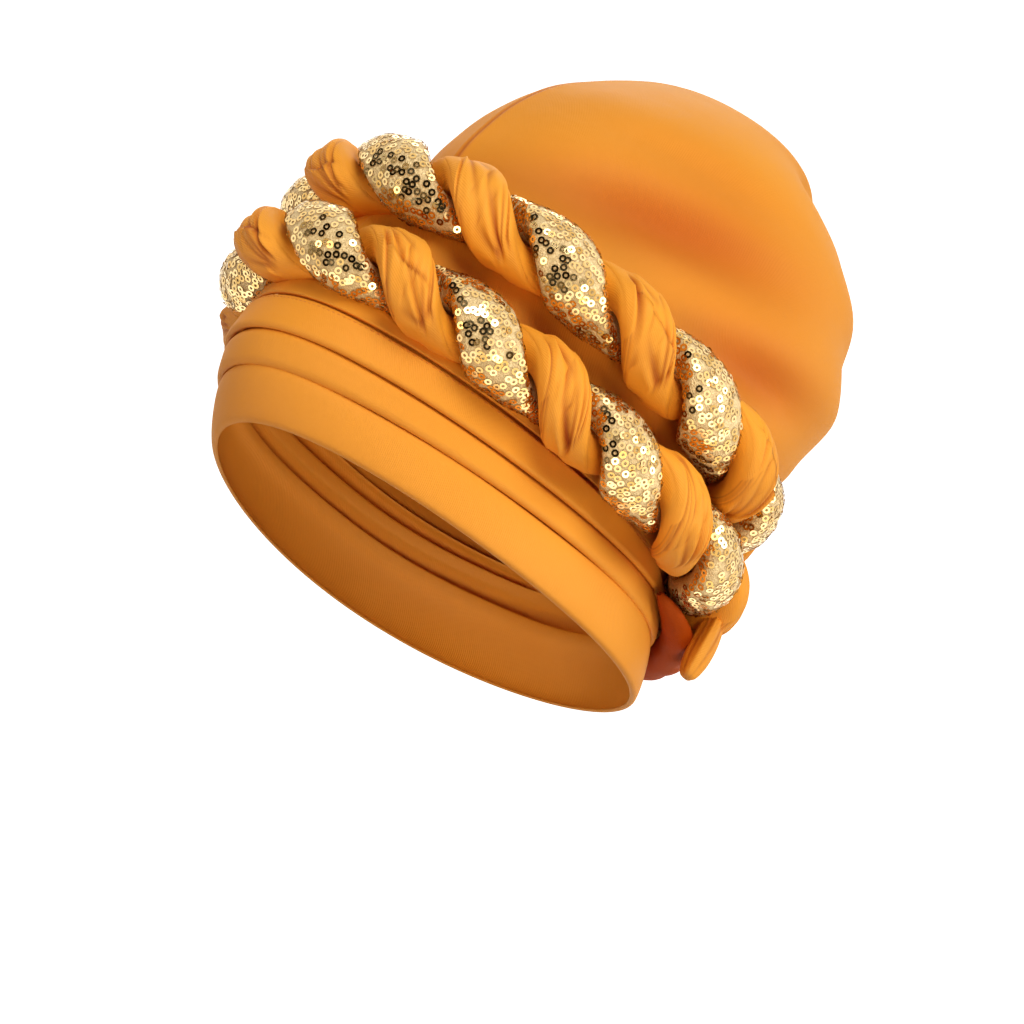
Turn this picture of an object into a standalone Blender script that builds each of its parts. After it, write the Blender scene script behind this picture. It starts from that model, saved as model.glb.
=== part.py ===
"""A pre-tied turban hat: a pleated band round the head, a big soft crown that leans
back, a pouch of the same cloth at the nape, and two ropes laid round it, each twisted
from one padded strand of cloth and one of sequin cloth.

The hat is modelled as it is worn, with the face towards -Y, the wearer's left at +X
and +Z up. The origin is the middle of the head opening. Sizes are in millimetres.

The shape is laid out in the opening's own plane, which slopes down from the forehead
to the nape. A place there is (side, back, rise): side towards the wearer's left, back
down the slope towards the nape, and rise square to the opening. Angles go round the
hat from the forehead, 0, past the wearer's left ear, 90, to the nape, 180.
"""

import math
from collections import namedtuple

import bmesh
import bpy
from mathutils import Vector

MM = 0.001

OPENING_SLOPE = math.radians(36.8)
CLOTH = 1.7

# A rope is two strands of oval section, each beside the rope's middle line.
STRAND_WIDTH = 30.0
STRAND_DEPTH = 15.6
STRAND_GAP = 0.7

# Cloth lies at least this far from a rope's middle line, which is looked for this many
# degrees to each side.
ROPE_BED = 19
ROPE_SEARCH = 16

STATIONS_ROUND = 40
ROPE_STATIONS = 90
FINE_STEPS = 720
NEARBY = 0.001
STRAND_SIDES = 8

# A closed line round the hat. Its plan is an egg: half_width at the ears, half_length
# fore and aft of centre, and narrowed by the share egg at the front. Its height is
# rise, plus front at the forehead (and less at the nape), plus bow at both of them.
Ring = namedtuple("Ring", "half_width centre half_length rise front bow egg")

RIM = Ring(86, -5, 119, 0, 0, 2.3, 0.11)
LOWER_FOLD = Ring(87, -15, 123.4, 25.3, -3, 1.4, 0.13)
UPPER_FOLD = Ring(86.5, -18, 126, 39.2, -3, 2.5, 0.10)
CROWN_SEAM = Ring(86, -22, 121, 52, 2, 1.5, 0.12)
BAND_RINGS = (RIM, LOWER_FOLD, UPPER_FOLD, CROWN_SEAM)

LOWER_ROPE_LINE = Ring(102, -15, 127.6, 65.6, 12.4, 4, 0.17)
UPPER_ROPE_LINE = Ring(108, -11.5, 114.4, 107.4, 18.6, 3, 0.14)

# The crown from its seam up to its last ring, before the ropes press into it.
CROWN_RINGS = (
    CROWN_SEAM._replace(rise=53.5),
    Ring(86, -20, 119, 61, 6, 2, 0.13),
    Ring(88, -15, 113, 78, 12, 3, 0.15),
    Ring(90, -12, 108, 95, 16, 2, 0.15),
    Ring(92, -8, 103, 112, 18, 2, 0.14),
    Ring(96, 5, 104, 128, 15, 1, 0.14),
    Ring(97, 15, 110, 143, 10, 0, 0.14),
    Ring(97, 21, 115, 159, 5, 0, 0.14),
    Ring(93, 24, 114, 178, 0, 0, 0.13),
    Ring(85, 25, 106, 201, -2, 0, 0.12),
    Ring(75, 25.5, 91.5, 223, -3, 0, 0.12),
    Ring(63, 31, 77, 242, -4.5, 0, 0.12),
    Ring(48, 36, 61, 257, -4, 0, 0.12),
    Ring(27, 37, 39, 269, -3, 0, 0.10),
)
CROWN_TOP_CENTRE = 36
CROWN_TOP_RISE = 274
ABOVE_ROPES = 6

# The crown's two panels meet in a ridge along its middle, which fades in between two
# rises. Each stops short of the middle by half the width that their seam takes.
PANEL_STATIONS = STATIONS_ROUND // 2
HALF_SEAM = 0.5
SEAM_RIDGE = 2.5
SEAM_RIDGE_WIDTH = 13
SEAM_RIDGE_STARTS = 90
SEAM_RIDGE_FULL = 120

# A strip's section: level counts the band's rings from the rim, 0, to the crown seam,
# 3, and out is the distance from the band's outer form.
Corner = namedtuple("Corner", "level out")

BAND_SECTION = (
    Corner(0.00, -0.8), Corner(0.12, 1.2), Corner(0.42, 3.6), Corner(0.75, 1.6),
    Corner(1.00, -3.6), Corner(1.28, -4.5), Corner(1.28, -6.5), Corner(0.95, -5.8),
    Corner(0.70, -0.9), Corner(0.40, 1.0), Corner(0.10, -1.2),
)
LOWER_PLEAT_SECTION = (
    Corner(0.96, -1.6), Corner(1.02, 0.1), Corner(1.30, 1.0), Corner(1.70, -0.8),
    Corner(1.98, -3.5), Corner(2.30, -3.9), Corner(2.30, -5.9), Corner(1.90, -5.5),
    Corner(1.55, -3.2), Corner(1.02, -2.8),
)
UPPER_PLEAT_SECTION = (
    Corner(1.96, -1.6), Corner(2.03, 0.1), Corner(2.30, 0.9), Corner(2.70, 0.6),
    Corner(2.96, -0.4), Corner(2.96, -2.2), Corner(2.60, -2.1), Corner(2.04, -2.7),
)

# The path of the pouch's cloth at the nape, out from the band and up from the rim's
# plane. It shrinks along an oval towards POUCH_MOUTH, over a half angle from its middle,
# and its ends are closed where the oval has turned this far.
PouchCorner = namedtuple("PouchCorner", "out rise")
POUCH_SECTION = (
    PouchCorner(3.0, 34), PouchCorner(3.2, 31), PouchCorner(5.5, 26.5),
    PouchCorner(10, 24.5), PouchCorner(15.5, 25.5), PouchCorner(19.5, 29),
    PouchCorner(20.5, 33.5), PouchCorner(17.5, 37.4), PouchCorner(11.5, 39),
    PouchCorner(5.5, 37.8),
)
POUCH_MOUTH = PouchCorner(3.0, 37)
POUCH_MIDDLE = math.radians(172)
POUCH_HALF_ANGLE = 48
POUCH_END_TURN = 74
POUCH_STATIONS = 12

# Each rope's twist: whole turns round the hat, the distance from the front at which
# the sequin strand is outermost, and how much tighter the twist is on the left side.
Rope = namedtuple("Rope", "name line turns sequin_at tighter")
ROPES = (
    Rope("lower_rope", LOWER_ROPE_LINE, 9, 93, 0.46),
    Rope("upper_rope", UPPER_ROPE_LINE, 9, 99, -0.50),
)

# Broad hollows in the crown, and swellings between them where the depth is negative: the
# place of the middle, the half spans, the rise for each degree round, and the depth.
Dent = namedtuple("Dent", "angle rise half_angle half_rise slant depth")
DENTS = (
    Dent(70, 172, 32, 12, 0.45, 6.5),
    Dent(100, 136, 22, 10, 0.25, 5),
    Dent(66, 208, 30, 9, 0.15, 2.5),
    Dent(128, 254, 36, 12, 0, 17),
    Dent(118, 236, 24, 12, 0, 4.1),
    Dent(130, 209, 18, 11, 0, -2.3),
    Dent(138, 188, 18, 10, 0, 2.2),
    Dent(140, 164, 16, 9, 0, -1.7),
    Dent(157, 128, 20, 12, 0, -5.7),
    Dent(172, 226, 22, 12, -0.1, 4),
    Dent(176, 176, 22, 12, 0, 4),
    Dent(-76, 172, 42, 12, -0.4, 5.5),
    Dent(-110, 136, 28, 10, -0.2, 4.5),
    Dent(-62, 212, 28, 9, -0.15, 2.5),
    Dent(-138, 204, 30, 13, 0.2, 4.5),
)

# The loose tail of the lower rope's cloth strand, which hangs below it.
TailSection = namedtuple("TailSection", "down half_width half_depth")
TAIL_ANGLE = 141
TAIL_OUT = 22
TAIL_RISE = 41.7
TAIL_SECTIONS = (
    TailSection(0, 8, 3.4), TailSection(7, 9, 4.2), TailSection(14, 8, 3.8),
    TailSection(20, 5.5, 2.6), TailSection(24, 2.4, 1.2),
)
TAIL_SIDES = 8

SHARP_ANGLE = math.radians(50)
CLOTH_ROUGHNESS = 0.5
CLOTH_COLOUR = (0.83, 0.31, 0.035, 1)
CLOTH_SHADE = (0.70, 0.22, 0.02, 1)
SEQUIN_COLOUR = (0.62, 0.43, 0.17, 1)
SEQUIN_ROUGHNESS = 0.35
SEQUIN_METALLIC = 0.6


def to_world(place):
    """The position in metres of a place (side, back, rise) in the opening's plane."""
    side, back, rise = place
    slope_cos, slope_sin = math.cos(OPENING_SLOPE), math.sin(OPENING_SLOPE)
    y = back * slope_cos + rise * slope_sin
    z = rise * slope_cos - back * slope_sin
    return Vector((side, y, z)) * MM


def ring_place(ring, angle):
    """The place on a ring at an angle in radians."""
    side = ring.half_width * math.sin(angle) * (1 - ring.egg * math.cos(angle))
    back = ring.centre - ring.half_length * math.cos(angle)
    rise = ring.rise + ring.front * math.cos(angle) + ring.bow * math.cos(2 * angle)
    return Vector((side, back, rise))


def ring_outward(ring, angle):
    """The unit direction that faces straight out of a ring's plan at an angle."""
    slope = math.cos(angle) - ring.egg * math.cos(2 * angle)
    return Vector((ring.half_length * math.sin(angle), -ring.half_width * slope, 0)).normalized()


def blend_rings(rings, level):
    """The ring at a level that counts the rings from 0, on a smooth curve through them."""
    low = max(0, min(int(level), len(rings) - 2))
    t = level - low
    before = rings[max(low - 1, 0)]
    after = rings[min(low + 2, len(rings) - 1)]
    values = []
    for p0, p1, p2, p3 in zip(before, rings[low], rings[low + 1], after):
        bend = 2 * p0 - 5 * p1 + 4 * p2 - p3 + t * (3 * (p1 - p2) + p3 - p0)
        values.append(p1 + 0.5 * t * (p2 - p0 + t * bend))
    return Ring(*values)


def clear_of_rope(place, outward, angle, line):
    """The place, moved inward where it is nearer to a rope's middle line than its bed."""
    turns = range(-ROPE_SEARCH, ROPE_SEARCH + 1, 2)
    line_places = [ring_place(line, angle + math.radians(turn)) for turn in turns]
    for _ in range(2):
        near = min(line_places, key=lambda point: (point - place).length)
        away = place - near
        if away.length >= ROPE_BED:
            break
        along = away.dot(outward)
        inward = along + math.sqrt(along * along - away.length_squared + ROPE_BED * ROPE_BED)
        place = place - outward * inward
    return place


def clear_of_ropes(place, outward, angle):
    for rope in ROPES:
        place = clear_of_rope(place, outward, angle, rope.line)
    return place


def angles_round(count):
    return [2 * math.pi * station / count for station in range(count)]


def add_node(name, mesh, material):
    """A shaded object from a finished bmesh, with its own material."""
    bmesh.ops.recalc_face_normals(mesh, faces=mesh.faces)
    data = bpy.data.meshes.new(name)
    mesh.to_mesh(data)
    mesh.free()
    data.shade_smooth()
    data.set_sharp_from_angle(angle=SHARP_ANGLE)
    data.materials.append(material)
    node = bpy.data.objects.new(name, data)
    bpy.context.scene.collection.objects.link(node)
    return node


def plain_material(name, colour, roughness=CLOTH_ROUGHNESS, metallic=0):
    material = bpy.data.materials.new(name)
    material.use_nodes = True
    shader = material.node_tree.nodes["Principled BSDF"]
    shader.inputs["Base Color"].default_value = colour
    shader.inputs["Roughness"].default_value = roughness
    shader.inputs["Metallic"].default_value = metallic
    return material


def join_loops(mesh, loops, closed, turned=()):
    """Faces between neighbouring loops of vertices, and round to the first if closed.

    The faces whose place in the loop is in turned are cut along their other diagonal.
    """
    pairs = list(zip(loops, loops[1:]))
    if closed:
        pairs.append((loops[-1], loops[0]))
    for first, second in pairs:
        count = len(first)
        for index in range(count):
            following = (index + 1) % count
            corners = (first[index], first[following], second[following], second[index])
            start = 1 if index in turned else 0
            mesh.faces.new((corners[start], corners[start + 1], corners[start + 2]))
            mesh.faces.new((corners[start], corners[start + 2], corners[start - 1]))


def band_place(level, out, angle):
    ring = blend_rings(BAND_RINGS, level)
    outward = ring_outward(ring, angle)
    return clear_of_ropes(ring_place(ring, angle), outward, angle) + outward * out


def add_strip(name, section, colour):
    """A folded strip of cloth all the way round the head, from its section's corners."""
    mesh = bmesh.new()
    loops = []
    for angle in angles_round(STATIONS_ROUND):
        places = [band_place(corner.level, corner.out, angle) for corner in section]
        loops.append([mesh.verts.new(to_world(place)) for place in places])
    join_loops(mesh, loops, closed=True)
    add_node(name, mesh, plain_material(name, colour))


def dent_depth(angle, rise):
    """How far the crown's cloth has sunk at an angle and rise."""
    depth = 0
    for dent in DENTS:
        turn = math.degrees(angle) - dent.angle
        turn = (turn + 180) % 360 - 180
        climb = (rise - dent.rise - dent.slant * turn) / dent.half_rise
        depth += dent.depth * math.exp(-((turn / dent.half_angle) ** 2) - climb**2)
    return depth


def crown_place(ring, angle):
    place = ring_place(ring, angle)
    outward = ring_outward(ring, angle)
    ridge = SEAM_RIDGE * math.exp(-((place.x / SEAM_RIDGE_WIDTH) ** 2))
    shown = (place.z - SEAM_RIDGE_STARTS) / (SEAM_RIDGE_FULL - SEAM_RIDGE_STARTS)
    ridge *= min(1, max(0, shown))
    place += outward * (ridge - dent_depth(angle, place.z))
    return clear_of_ropes(place, outward, angle)


def crown_levels():
    """The levels of the crown's rows, which are twice as close where the ropes lie."""
    beside_ropes = [step / 2 for step in range(2 * ABOVE_ROPES)]
    return beside_ropes + list(range(ABOVE_ROPES, len(CROWN_RINGS)))


def beside_seam(place, side):
    """The place, moved off the middle by half the seam, towards one side."""
    return Vector((side * max(abs(place[0]), HALF_SEAM), place[1], place[2]))


def add_crown_panel(name, side):
    """Half of the soft bag over the head, with the cloth's thickness inside its form."""
    mesh = bmesh.new()
    angles = [side * math.pi * station / PANEL_STATIONS for station in range(PANEL_STATIONS + 1)]
    rows = []
    for level in crown_levels():
        ring = blend_rings(CROWN_RINGS, level)
        places = [beside_seam(crown_place(ring, angle), side) for angle in angles]
        rows.append([mesh.verts.new(to_world(place)) for place in places])
    for first, second in zip(rows, rows[1:]):
        for index in range(PANEL_STATIONS):
            mesh.faces.new((first[index], first[index + 1], second[index + 1], second[index]))
    top = mesh.verts.new(to_world(beside_seam((0, CROWN_TOP_CENTRE, CROWN_TOP_RISE), side)))
    for vertex, following in zip(rows[-1], rows[-1][1:]):
        mesh.faces.new((vertex, following, top))
    node = add_node(name, mesh, plain_material(name, CLOTH_COLOUR))
    wall = node.modifiers.new("cloth", "SOLIDIFY")
    wall.thickness = CLOTH * MM
    wall.offset = -1


def add_pouch():
    """The crown's cloth below the ropes, folded under itself at the nape."""
    mesh = bmesh.new()
    rows = []
    for station in range(POUCH_STATIONS):
        turn = math.radians(POUCH_END_TURN) * (-1 + 2 * station / (POUCH_STATIONS - 1))
        angle = POUCH_MIDDLE + math.radians(POUCH_HALF_ANGLE) * math.sin(turn)
        size = math.cos(turn)
        row = []
        for corner in POUCH_SECTION:
            rise = POUCH_MOUTH.rise + (corner.rise - POUCH_MOUTH.rise) * size
            out = POUCH_MOUTH.out + (corner.out - POUCH_MOUTH.out) * size
            ring = LOWER_FOLD._replace(rise=rise, front=0, bow=0)
            place = ring_place(ring, angle) + ring_outward(ring, angle) * out
            row.append(mesh.verts.new(to_world(place)))
        rows.append(row)
    for first, second in zip(rows, rows[1:]):
        for index in range(len(first) - 1):
            mesh.faces.new((first[index], first[index + 1], second[index + 1], second[index]))
    for row in (rows[0], rows[-1]):
        middle = mesh.verts.new(sum((vertex.co for vertex in row), Vector()) / len(row))
        for vertex, following in zip(row, row[1:]):
            mesh.faces.new((vertex, following, middle))
    node = add_node("nape_pouch", mesh, plain_material("nape_pouch", CLOTH_SHADE))
    wall = node.modifiers.new("cloth", "SOLIDIFY")
    wall.thickness = CLOTH * MM
    wall.offset = 0


def rope_stations(rope):
    """Evenly spaced (angle, share of the way round) along a rope's middle line."""
    fine = angles_round(FINE_STEPS)
    places = [ring_place(rope.line, angle) for angle in fine]
    lengths = [0]
    for index, place in enumerate(places):
        lengths.append(lengths[-1] + (places[(index + 1) % len(places)] - place).length)
    stations = []
    index = 0
    for station in range(ROPE_STATIONS):
        wanted = lengths[-1] * station / ROPE_STATIONS
        while lengths[index + 1] <= wanted:
            index += 1
        part = (wanted - lengths[index]) / (lengths[index + 1] - lengths[index])
        stations.append(((index + part) * 2 * math.pi / len(fine), station / ROPE_STATIONS))
    return stations, lengths[-1]


def add_strand(rope, name, half_turn, material):
    """One strand of a rope: an oval section that turns round the rope's middle line."""
    mesh = bmesh.new()
    stations, length = rope_stations(rope)
    sequin_share = rope.sequin_at / length
    loops = []
    for angle, share in stations:
        here = ring_place(rope.line, angle)
        ahead = ring_place(rope.line, angle + NEARBY) - ring_place(rope.line, angle - NEARBY)
        along = to_world(ahead).normalized()
        outward = to_world(ring_outward(rope.line, angle))
        outward = (outward - along * outward.dot(along)).normalized()
        across = along.cross(outward)
        eased = rope.tighter / (2 * math.pi) * math.sin(2 * math.pi * (share - sequin_share))
        turn = 2 * math.pi * (rope.turns * (share - sequin_share) + eased) + half_turn
        reach = outward * math.cos(turn) + across * math.sin(turn)
        beside = along.cross(reach)
        middle = to_world(here) + reach * ((STRAND_DEPTH + STRAND_GAP) / 2 * MM)
        loop = []
        for side in range(STRAND_SIDES):
            round_angle = 2 * math.pi * side / STRAND_SIDES
            offset = reach * math.cos(round_angle) * STRAND_DEPTH / 2
            offset += beside * math.sin(round_angle) * STRAND_WIDTH / 2
            loop.append(mesh.verts.new(middle + offset * MM))
        loops.append(loop)
    quarter = STRAND_SIDES // 4
    outer_sides = (*range(quarter), *range(3 * quarter, STRAND_SIDES))
    join_loops(mesh, loops, closed=True, turned=outer_sides)
    add_node(name, mesh, material)


def add_ropes():
    for rope in ROPES:
        cloth = rope.name + "_cloth_strand"
        sequin = rope.name + "_sequin_strand"
        glitter = plain_material(sequin, SEQUIN_COLOUR, SEQUIN_ROUGHNESS, SEQUIN_METALLIC)
        add_strand(rope, sequin, 0, glitter)
        add_strand(rope, cloth, math.pi, plain_material(cloth, CLOTH_COLOUR))


def add_tail():
    """The cloth strand's raw end, gathered at the top and drawn to a soft point."""
    mesh = bmesh.new()
    angle = math.radians(TAIL_ANGLE)
    outward = ring_outward(LOWER_ROPE_LINE, angle)
    sideways = Vector((-outward.y, outward.x, 0))
    top = ring_place(LOWER_FOLD, angle) + outward * TAIL_OUT
    loops = []
    for section in TAIL_SECTIONS:
        middle = Vector((top.x, top.y, TAIL_RISE - section.down))
        loop = []
        for side in range(TAIL_SIDES):
            round_angle = 2 * math.pi * side / TAIL_SIDES
            place = middle + outward * (section.half_depth * math.cos(round_angle))
            place += sideways * (section.half_width * math.sin(round_angle))
            loop.append(mesh.verts.new(to_world(place)))
        loops.append(loop)
    join_loops(mesh, loops, closed=False)
    mesh.faces.new(loops[0])
    mesh.faces.new(loops[-1])
    add_node("rope_tail", mesh, plain_material("rope_tail", CLOTH_COLOUR))


for leftover in list(bpy.data.objects):
    bpy.data.objects.remove(leftover)
add_strip("band", BAND_SECTION, CLOTH_COLOUR)
add_strip("lower_pleat", LOWER_PLEAT_SECTION, CLOTH_COLOUR)
add_strip("upper_pleat", UPPER_PLEAT_SECTION, CLOTH_COLOUR)
add_crown_panel("crown_left_panel", 1)
add_crown_panel("crown_right_panel", -1)
add_pouch()
add_ropes()
add_tail()
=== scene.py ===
import math
from collections import namedtuple

import bmesh
import bpy
import numpy as np
from mathutils import Matrix, Vector


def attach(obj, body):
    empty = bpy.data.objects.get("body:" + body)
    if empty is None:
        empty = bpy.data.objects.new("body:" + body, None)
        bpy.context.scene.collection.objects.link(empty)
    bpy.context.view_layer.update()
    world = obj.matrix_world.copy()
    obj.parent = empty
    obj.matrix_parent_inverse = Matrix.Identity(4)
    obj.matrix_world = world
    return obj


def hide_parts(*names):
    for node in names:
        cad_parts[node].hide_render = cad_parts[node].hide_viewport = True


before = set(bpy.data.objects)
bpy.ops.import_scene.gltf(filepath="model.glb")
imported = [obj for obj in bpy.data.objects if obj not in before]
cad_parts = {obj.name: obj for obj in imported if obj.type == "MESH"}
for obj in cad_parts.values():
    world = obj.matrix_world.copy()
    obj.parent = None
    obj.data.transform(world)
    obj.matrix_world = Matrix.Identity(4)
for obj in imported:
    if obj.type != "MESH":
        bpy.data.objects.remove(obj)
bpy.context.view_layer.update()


# The view and the studio. The camera stands at the hat's front left corner. A large soft
# lamp is high on its right, and weaker ones are on both sides and low in front. The room
# behind it is dark. The floor is plain and pale, well below the hat.
VIEW_AZIMUTH = 48
VIEW_ELEVATION = 6
VIEW_DISTANCE = 2.1
VIEW_WIDTH = 0.4506
VIEW_TARGET = Vector((0.0314, 0.0237, 0.0313))
SENSOR_WIDTH = 36
FLOOR_HEIGHT = -0.9
FLOOR_RADIUS = 9
BACKDROP_RADIUS = 12
PALE = (0.9, 0.9, 0.9)
PALE_GLOW = 0.96
ROOM_LIGHT = 0.14
WHITE = (1, 1, 1)
WARM = (1, 0.86, 0.68)
Lamp = namedtuple("Lamp", "name azimuth elevation distance size power colour")
LAMPS = (
    Lamp("high_softbox", 72, 49, 1.7, 0.8, 15.6, WHITE),
    Lamp("low_softbox", 64, -24, 1.7, 0.8, 10.3, WARM),
    Lamp("left_softbox", -12, 18, 1.7, 0.8, 7, WARM),
    Lamp("right_softbox", 128, -2, 1.7, 0.8, 10.2, WHITE),
    Lamp("back_softbox", 215, 35, 1.9, 0.9, 4.5, WHITE),
)
DARK_ROOM_SIZE = 6.8
DARK_ROOM_AZIMUTH = 16
DARK_ROOM_ELEVATION = 20
DARK_ROOM_DISTANCE = 2.6
DARK = (0.02, 0.02, 0.02)


def towards(azimuth, elevation):
    """The unit direction from the hat towards an azimuth and elevation in degrees."""
    turn, lift = math.radians(azimuth), math.radians(elevation)
    level = math.cos(lift)
    return Vector((math.sin(turn) * level, -math.cos(turn) * level, math.sin(lift)))


def stand(data, azimuth, elevation, distance):
    """A new camera, lamp or card that stands off from the hat and faces it."""
    away = towards(azimuth, elevation)
    made = bpy.data.objects.new(data.name, data)
    made.location = VIEW_TARGET + away * distance
    made.rotation_euler = away.to_track_quat("Z", "Y").to_euler()
    bpy.context.scene.collection.objects.link(made)
    return made


camera_data = bpy.data.cameras.new("camera")
camera_data.sensor_width = SENSOR_WIDTH
camera_data.lens = SENSOR_WIDTH * VIEW_DISTANCE / VIEW_WIDTH
camera = stand(camera_data, VIEW_AZIMUTH, VIEW_ELEVATION, VIEW_DISTANCE)
bpy.context.scene.camera = camera
bpy.context.scene.view_settings.view_transform = "Standard"
bpy.context.scene.view_settings.look = "Medium High Contrast"

for lamp in LAMPS:
    light = bpy.data.lights.new(lamp.name, "AREA")
    light.size = lamp.size
    light.energy = lamp.power
    light.color = lamp.colour
    stand(light, lamp.azimuth, lamp.elevation, lamp.distance)

world = bpy.data.worlds.new("studio")
world.use_nodes = True
world.node_tree.nodes["Background"].inputs["Color"].default_value = (*WARM, 1)
world.node_tree.nodes["Background"].inputs["Strength"].default_value = ROOM_LIGHT
bpy.context.scene.world = world


def stage_data(name, mesh, colour, glow):
    """Mesh data for a plain matt thing of the studio, which may glow a little."""
    material = bpy.data.materials.new(name)
    material.use_nodes = True
    shader = material.node_tree.nodes["Principled BSDF"]
    shader.inputs["Base Color"].default_value = (*colour, 1)
    shader.inputs["Roughness"].default_value = 1
    shader.inputs["Specular IOR Level"].default_value = 0
    shader.inputs["Emission Color"].default_value = (*WHITE, 1)
    shader.inputs["Emission Strength"].default_value = glow
    data = bpy.data.meshes.new(name)
    mesh.to_mesh(data)
    mesh.free()
    data.materials.append(material)
    return data


floor_mesh = bmesh.new()
bmesh.ops.create_circle(
    floor_mesh, cap_ends=True, segments=64, radius=FLOOR_RADIUS,
    matrix=Matrix.Translation((0, 0, FLOOR_HEIGHT)),
)
backdrop_mesh = bmesh.new()
bmesh.ops.create_icosphere(backdrop_mesh, subdivisions=3, radius=BACKDROP_RADIUS)
for data in (
    stage_data("pale_floor", floor_mesh, PALE, PALE_GLOW),
    stage_data("pale_backdrop", backdrop_mesh, PALE, PALE_GLOW),
):
    ground = bpy.data.objects.new(data.name, data)
    ground.visible_diffuse = ground.visible_shadow = False
    bpy.context.scene.collection.objects.link(ground)

card_mesh = bmesh.new()
bmesh.ops.create_grid(card_mesh, x_segments=1, y_segments=1, size=DARK_ROOM_SIZE / 2)
card_data = stage_data("dark_room", card_mesh, DARK, 0)
dark_room = stand(card_data, DARK_ROOM_AZIMUTH, DARK_ROOM_ELEVATION, DARK_ROOM_DISTANCE)
dark_room.visible_camera = dark_room.visible_diffuse = dark_room.visible_shadow = False


# The band and the two pleats above it: strips of smooth satin knit, each folded over a
# soft rolled lower edge and tucked under the strip above. The three are laid one over
# the next all round the hat, and the top one's upper edge is sewn to the crown.
OPENING_SLOPE = math.radians(36.8)
SLOPE_COS, SLOPE_SIN = math.cos(OPENING_SLOPE), math.sin(OPENING_SLOPE)
MM = 0.001

# A ring round the hat, in mm in the opening's sloping plane: its half width, how far back
# its middle lies, its half length, its rise, how much higher its front is and how much
# lower its sides, and the share by which it is narrower in front and wider at the back.
Ring = namedtuple("Ring", "half_width centre half_length rise front bow egg")
BAND_RINGS = (
    Ring(86, -5, 119, 0, 0, 2.3, 0.11),
    Ring(87, -15, 123.4, 25.3, -3, 1.4, 0.13),
    Ring(86.5, -18, 126, 39.2, -3, 2.5, 0.10),
    Ring(86, -22, 121, 52, 2, 1.5, 0.12),
)

# The ropes' middle lines, how near to them the cloth comes in mm, and within how many
# degrees round the hat a line's nearest point is looked for.
LOWER_ROPE_LINE = Ring(102, -15, 127.6, 65.6, 12.4, 4, 0.17)
UPPER_ROPE_LINE = Ring(108, -11.5, 114.4, 107.4, 18.6, 3, 0.14)
ROPE_BED = 15.2
ROPE_SEARCH = 16

# A corner of a strip's section, from its inside over the rolled edge to its outside: its
# level, counted in the rows of BAND_RINGS, and how far it stands out from there in mm.
Corner = namedtuple("Corner", "level out")
BAND_SECTION = (
    Corner(0.01, -0.9), Corner(-0.02, 0.4), Corner(0.03, 1.7), Corner(0.12, 2.3),
    Corner(0.32, 2.6), Corner(0.56, 2.2), Corner(0.78, 1.2), Corner(0.94, -0.4),
    Corner(1.04, -2.6), Corner(1.26, -4.3), Corner(1.28, -6.3), Corner(1.04, -5.3),
    Corner(0.84, -1.8), Corner(0.56, 0.3), Corner(0.30, 0.7), Corner(0.10, -0.2),
)
LOWER_PLEAT_SECTION = (
    Corner(0.99, -1.2), Corner(0.95, -0.1), Corner(0.99, 1.2), Corner(1.08, 1.7),
    Corner(1.22, 1.4), Corner(1.45, 0.8), Corner(1.68, 0.3), Corner(1.86, -0.6),
    Corner(1.98, -2.0), Corner(2.12, -3.4), Corner(2.30, -4.1), Corner(2.30, -5.8),
    Corner(1.96, -5.0), Corner(1.75, -2.6), Corner(1.45, -1.2), Corner(1.12, -1.3),
)
UPPER_PLEAT_SECTION = (
    Corner(1.99, -1.3), Corner(1.95, -0.2), Corner(1.99, 1.1), Corner(2.08, 1.6),
    Corner(2.22, 1.3), Corner(2.45, 0.9), Corner(2.70, 0.7), Corner(2.86, 0.5),
    Corner(2.95, -0.2), Corner(3.00, -2.2), Corner(3.16, -2.8), Corner(3.18, -4.2),
    Corner(2.96, -3.9), Corner(2.75, -1.3), Corner(2.45, -1.0), Corner(2.12, -1.4),
)
STRIP_COLUMNS = 260
STRIP_ROWS = 64
STRIP_LENGTH = 640

# Each strip, the width in mm that it is folded flat to, and what it lies on.
Strip = namedtuple("Strip", "name section folded below")
STRIPS = (
    Strip("band", BAND_SECTION, 36, ()),
    Strip("lower_pleat", LOWER_PLEAT_SECTION, 24, ("band_cloth",)),
    Strip("upper_pleat", UPPER_PLEAT_SECTION, 19, ("lower_pleat_cloth",)),
)

# The slow waves in which a strip is laid: how high they are for each level above its lower
# edge, up to a limit, how many go round the hat, and their phases.
Wave = namedtuple("Wave", "height count phase")
STRIP_WAVES = (Wave(0.05, 3, 1), Wave(0.03, 7, 0))
WAVES_FULL_ABOVE = 0.6

# The satin knit: its dark and light orange, the pitch and heights of its ribs, wrinkles and
# grain in mm, and the scales of its uneven colour, wrinkles and grain, in spots a metre.
CLOTH_ORANGE = (0.76, 0.297, 0.025, 1)
CLOTH_LIGHT = (0.85, 0.374, 0.045, 1)
RIB_PITCH = 1.1
RIB_HEIGHT = 0.035
WRINKLE_HEIGHT = 0.35
GRAIN_HEIGHT = 0.02
BROAD_SCALE = 14
WRINKLE_SCALE = 90
GRAIN_SCALE = 1500
SATIN_ROUGHNESS = 0.50
SATIN_SPECULAR = 0.2
SATIN_SHEEN = 0.04
SATIN_SHEEN_ROUGHNESS = 0.45
SATIN_SHEEN_TINT = (1, 0.72, 0.42, 1)


def to_world(places):
    """Metres from rows of (side, back, rise) in the opening's sloping plane."""
    side, back, rise = places.T
    across = back * SLOPE_COS + rise * SLOPE_SIN
    up = rise * SLOPE_COS - back * SLOPE_SIN
    return np.stack([side, across, up], axis=1) * MM


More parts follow.
